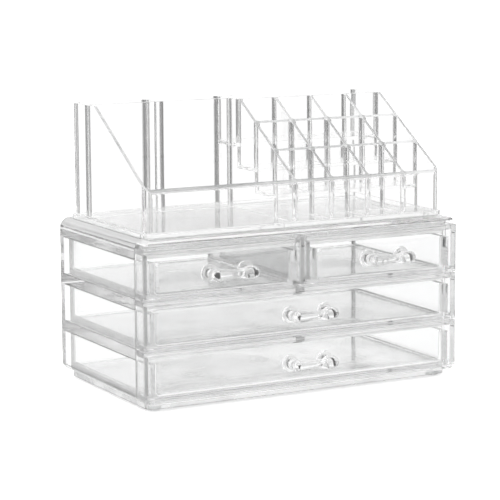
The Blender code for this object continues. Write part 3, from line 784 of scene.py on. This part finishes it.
def add_floor():
    """A wide pale floor that keeps the soft shadow. The plastic sees it white, and only nearby."""
    mesh = bpy.data.meshes.new("floor")
    work = bmesh.new()
    bmesh.ops.create_circle(work, cap_ends=True, radius=FLOOR_RADIUS, segments=FLOOR_SIDES)
    work.to_mesh(mesh)
    work.free()
    floor = link("floor", mesh)
    material = bpy.data.materials.new("floor_paper")
    material.use_nodes = True
    tree = material.node_tree
    tree.nodes.remove(tree.nodes["Principled BSDF"])
    geometry = add_node(tree, "NewGeometry")
    distance = add_node(tree, "VectorMath", operation="LENGTH",
                        links={0: geometry.outputs["Position"]})
    away = add_node(tree, "MapRange", {"From Min": FLOOR_FADE_START, "From Max": FLOOR_FADE_END},
                    {"Value": distance.outputs["Value"]}, interpolation_type="SMOOTHSTEP")

    diffuse = add_node(tree, "BsdfDiffuse", {"Color": (*grey(FLOOR_GREY), 1)})
    glow = add_node(tree, "Emission", {"Strength": FLOOR_GLOW})
    glowing = add_node(tree, "AddShader", links={0: diffuse.outputs[0], 1: glow.outputs[0]})
    white = add_node(tree, "Emission", {"Strength": LIGHT_STRENGTH})
    nothing = add_node(tree, "BsdfTransparent")
    to_plastic = add_node(tree, "MixShader", links={0: away.outputs["Result"],
                                                    1: white.outputs[0], 2: nothing.outputs[0]})
    path = add_node(tree, "LightPath")
    from_plastic = add_node(tree, "Math", operation="MAXIMUM",
                            links={0: path.outputs["Is Glossy Ray"],
                                   1: path.outputs["Is Transmission Ray"]})
    to_others = add_node(tree, "MixShader", links={0: path.outputs["Is Camera Ray"],
                                                   1: diffuse.outputs[0], 2: glowing.outputs[0]})
    choice = add_node(tree, "MixShader", links={0: from_plastic.outputs[0],
                                                1: to_others.outputs[0], 2: to_plastic.outputs[0]})
    tree.links.new(choice.outputs[0], tree.nodes["Material Output"].inputs["Surface"])
    mesh.materials.append(material)


def add_lamp(name, place, size, power):
    """A soft rectangular lamp aimed at the middle of the organizer."""
    data = bpy.data.lights.new(name, "AREA")
    data.shape = "RECTANGLE"
    data.size, data.size_y = size
    data.energy = power
    lamp = link(name, data)
    place = Vector(place)
    turn = (Vector((0, 0, LAMP_AIM_Z)) - place).to_track_quat("-Z", "Y").to_matrix().to_4x4()
    lamp.matrix_world = Matrix.Translation(place) @ turn


# The plastic of each kind of piece: slot, tint, roughness, depth of the waves and absorption
LOOKS = {
    "case": ("case_plastic", (0.992, 0.994, 0.994), 0.004, 0.3, 0),
    "top_tray": ("tray_plastic", grey(1.0), 0.003, 0.5, 0),
    "drawer": ("drawer_plastic", (0.993, 0.995, 0.995), 0.004, 0.9, 2.5),
    "handle": ("handle_plastic", grey(0.97), 0.004, 0.2, 0),
    "foot": ("foot_pad", (0.82, 0.83, 0.83), 0.35, 0.4, 0),
}


def in_cells(face):
    """Whether a face of the case is inside its cells or the hollow over them."""
    x, y, z = face.center
    return (abs(x) < CELL_HALF + EDGE_ROUND and y > CARCASS_FRONT_Y + EDGE_ROUND
            and FIRST_FLOOR_Z - EDGE_ROUND < z < HOLLOW_TOP_Z + EDGE_ROUND)


def is_level(face):
    """Whether a face is level, from above or below."""
    return abs(face.normal.z) > FLAT


def is_upright_round(face):
    """Whether a face is part of a rounded upright edge."""
    return (abs(face.normal.z) < ROUND_TILT
            and ROUND_SPAN[0] < abs(face.normal.x) < ROUND_SPAN[1])


def is_cell_round(face):
    """Whether a face is in the middle of a rounded edge along a cell, but not its lowest ones."""
    return (in_cells(face) and face.center.z > FIRST_FLOOR_Z + CELL_CORNER
            and abs(face.normal.y) < CELL_ROUND_TILT
            and CELL_ROUND_SPAN[0] < abs(face.normal.x) < CELL_ROUND_SPAN[1])


def is_divider_side(face):
    """Whether a face is a side of the top row's divider."""
    return in_cells(face) and abs(face.center.x) < DIVIDER and abs(face.normal.x) > FLAT


def is_carcass_front(face):
    """Whether a face is on the case's front, behind the drawers' caps."""
    return face.normal.y < -SLOPED and abs(face.center.y - CARCASS_FRONT_Y) < NEAR


def is_top_round(face):
    """Whether a face is on the rounded upper side edges of the case."""
    return (face.center.z > CASE_TOP_Z - CASE_TOP_CORNER
            and TOP_ROUND_SIDE < abs(face.normal.x) and face.normal.z > TOP_ROUND_UP)


def is_skirt(face):
    """Whether a face is on the skirt under the case."""
    return face.center.z < CASE_BOTTOM_Z - EDGE_ROUND


def is_case_corner(face):
    """Whether a face is on the small rounding of the case's outer upright edges."""
    return (is_upright_round(face) and abs(face.center.x) > CELL_HALF - SIDE_WALL
            and CASE_BOTTOM_Z < face.center.z < HOLLOW_TOP_Z)


def is_front_lip(face):
    """Whether a face is under the part of the top plate that reaches over the drawers."""
    return abs(face.center.z - HOLLOW_TOP_Z) < NEAR and face.center.y < CARCASS_FRONT_Y


def is_drawer_floor(face):
    """Whether a face is a drawer's floor, seen from above or below."""
    return face.center.y > CARCASS_FRONT_Y and is_level(face) and any(
        -EDGE_ROUND < face.center.z - row_floor(row) < SEAT_GAP + BODY_FLOOR + EDGE_ROUND
        for row in range(ROWS))


def is_floor_in_row(face, row):
    """Whether a face is the floor of a drawer in this row."""
    return (is_drawer_floor(face)
            and row_floor(row) - SHELF < face.center.z < row_floor(row + 1) - SHELF)


def is_back_corner(face):
    """Whether a face is on the rounded corners outside a drawer's back."""
    return (is_upright_round(face) and face.normal.y > BACK_FACING
            and face.center.y > CELL_BACK_Y - BODY_BACK_GAP * 2)


def is_tray_floor(face):
    """Whether a face is the tray's floor, seen from above or below."""
    return is_level(face) and face.center.z < TRAY_BOTTOM_Z + TRAY_FLOOR_REACH


def is_tray_front_corner(face):
    """Whether a face is on the tray's rounded front corners."""
    return is_upright_round(face) and face.center.y < TRAY_FRONT_Y + TRAY_FRONT_CORNER


def is_tray_rim(face):
    """Whether a face is on the upper edge of the tray's walls."""
    return face.normal.z > SLOPED and roof_height(face.center.y) - face.center.z < NEAR


# Where a moulding is less polished, and where shade, dark edges and reflections are painted into
# its colour. The faces are chosen by a test, and a later finish wins. "clear" is the share that
# lets light through. The last column is where on the X axis the painted shade of a drawer's floor
# starts to step forward.
Finish = namedtuple("Finish", "name tint roughness wave chosen clear haze_step",
                    defaults=(1, None))
FINISHES = {
    "case": (
        Finish("case_shelves", grey(0.985), 0.12, 0.3,
               lambda face: in_cells(face) and is_level(face)),
        Finish("case_fronts", grey(1.0), 0.1, 0.4, is_carcass_front, clear=0.7),
        # Painted shade: the front ends of the left wall and the divider are tinted dark, and of the
        # right wall grey, for the dark strips they refract
        Finish("case_right_front_painted_dark", grey(0.6), 0.1, 0.4,
               lambda face: is_carcass_front(face) and face.center.x > CELL_HALF),
        Finish("case_wall_fronts_painted_dark", grey(0.16), 0.1, 0.4,
               lambda face: is_carcass_front(face) and (face.center.x < -CELL_HALF
                                                        or abs(face.center.x) < DIVIDER)),
        # Painted shade: the divider's sides are tinted grey for the dark lines that the upright
        # wall refracts
        Finish("case_divider_painted_dark", grey(0.6), 0.01, 0.4, is_divider_side),
        # Painted shade: the rounded inner edges along the cells are opaque dark grey, for the thin
        # dark lines that light leaves there
        Finish("case_painted_dark_lines", grey(0.22), 0.3, 0.3, is_cell_round, clear=0),
        Finish("case_top_rounds", grey(1.0), 0.08, 0.3, is_top_round, clear=0.65),
        Finish("case_lip", grey(1.0), 0.4, 0.3, is_front_lip, clear=0.35),
        Finish("case_skirt", grey(0.8), 0.2, 0.6, is_skirt),
        # Painted shade: the small roundings of the case's outer upright edges are tinted dark for
        # the dark lines they refract
        Finish("case_corners_painted_dark", grey(0.3), 0.08, 0.3, is_case_corner),
    ),
    "top_tray": (
        # Painted shade: the rim faces that slope towards the front are tinted grey, the level ones
        # stay white
        Finish("tray_rim", (0.8, 0.805, 0.805), 0.3, 0.6,
               lambda face: is_tray_rim(face) and face.normal.y < RIM_SLOPE),
        Finish("tray_level_rim", grey(1.0), 0.35, 0.6,
               lambda face: is_tray_rim(face) and face.normal.y >= RIM_SLOPE, clear=0.7),
        # Painted reflection: the tray's floor is tinted grey for the darker surroundings it mirrors
        # at grazing angles
        Finish("tray_floor", grey(0.86), 0.003, 0.5, is_tray_floor),
        # Painted shade: the rounded upright corners are tinted dark for the dark lines they
        # refract, the front corners only a little
        Finish("tray_corners_painted_dark", grey(0.45), 0.03, 0.6, is_upright_round),
        Finish("tray_front_corners", grey(0.95), 0.03, 0.6, is_tray_front_corner),
    ),
    "drawer": (
        Finish("drawer_floors", grey(1.0), 0.01, 0.9, is_drawer_floor),
        # Painted shade on the bottom and middle drawers' floors, for the shaded table under the
        # organizer seen through them
        Finish("drawer_floor_bottom_painted_shade", grey(0.87), 0.01, 0.9,
               lambda face: is_floor_in_row(face, 0), haze_step=-0.005),
        Finish("drawer_floor_middle_painted_shade", grey(0.94), 0.01, 0.9,
               lambda face: is_floor_in_row(face, 1), haze_step=0.022),
        # Painted shade: the rounded corners outside a drawer's back are tinted dark for the dark
        # lines they refract
        Finish("drawer_corners_painted_dark", grey(0.3), 0.02, 0.6, is_back_corner),
    ),
    "handle": (
        # Painted shade: the ends of the pegs are near black, for the dark spots that the handles
        # refract
        Finish("handle_peg_ends_painted_dark", grey(0.02), 0.2, 0.2,
               lambda face: (face.normal.y > FACING
                             and face.center.y > FRONT_Y + FRONT_PANEL / 2)),
    ),
}


def dress(item, node_name, kind):
    """Gives a refined piece its plastic, and sets it on the body of the CAD node it stands for."""
    item.data.materials.clear()
    item.data.materials.append(plastics[kind])
    for index, finish in enumerate(FINISHES.get(kind, ())):
        item.data.materials.append(plastics[finish.name])
        for face in item.data.polygons:
            if finish.chosen(face):
                face.material_index = index + 1
    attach(item, body_names[node_name])
    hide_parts(node_name)


add_camera()
add_world()
add_floor()
add_lamp("top_softbox", (0.1, -0.2, 1.6), (0.9, 0.7), 10)
add_lamp("left_softbox", (-1.3, -0.9, 0.9), (0.5, 0.9), 6)

plastics = {kind: clear_plastic(*values) for kind, values in LOOKS.items()}
for kind, finishes in FINISHES.items():
    for finish in finishes:
        plastics[finish.name] = clear_plastic(*finish[:4], LOOKS[kind][4], finish.clear,
                                              finish.haze_step)
body_names = {node: name for name, body in frame["record"]["behaviour"]["bodies"].items()
              for node in body}

case_planes = [((x, 0, 0), (1, 0, 0)) for x in (-CELL_HALF, -DIVIDER / 2, DIVIDER / 2, CELL_HALF)]
case_planes.append(((0, CARCASS_FRONT_Y, 0), (0, 1, 0)))
dress(split_faces(finish_edges(make_case()), case_planes), "case", "case")
for name, row, low, high in cell_spans():
    span = front_spans()[name]
    dress(finish_edges(make_drawer(name, row, span)), "drawer_" + name, "drawer")
    dress(finish_edges(make_handle(name, row, span), 0), "handle_" + name, "handle")
for end_name, side_y in (("front", -1), ("back", 1)):
    for side_name, side_x in (("left", -1), ("right", 1)):
        foot_name = "foot_%s_%s" % (end_name, side_name)
        foot = make_foot(foot_name + "_pad", side_x, side_y)
        dress(finish_edges(foot, 0), foot_name, "foot")
dress(finish_edges(make_tray()), "top_tray", "top_tray")

scene.view_settings.view_transform = "Standard"
scene.cycles.max_bounces = BOUNCES
scene.cycles.transmission_bounces = BOUNCES
scene.cycles.glossy_bounces = BOUNCES
scene.cycles.transparent_max_bounces = OPEN_BOUNCES
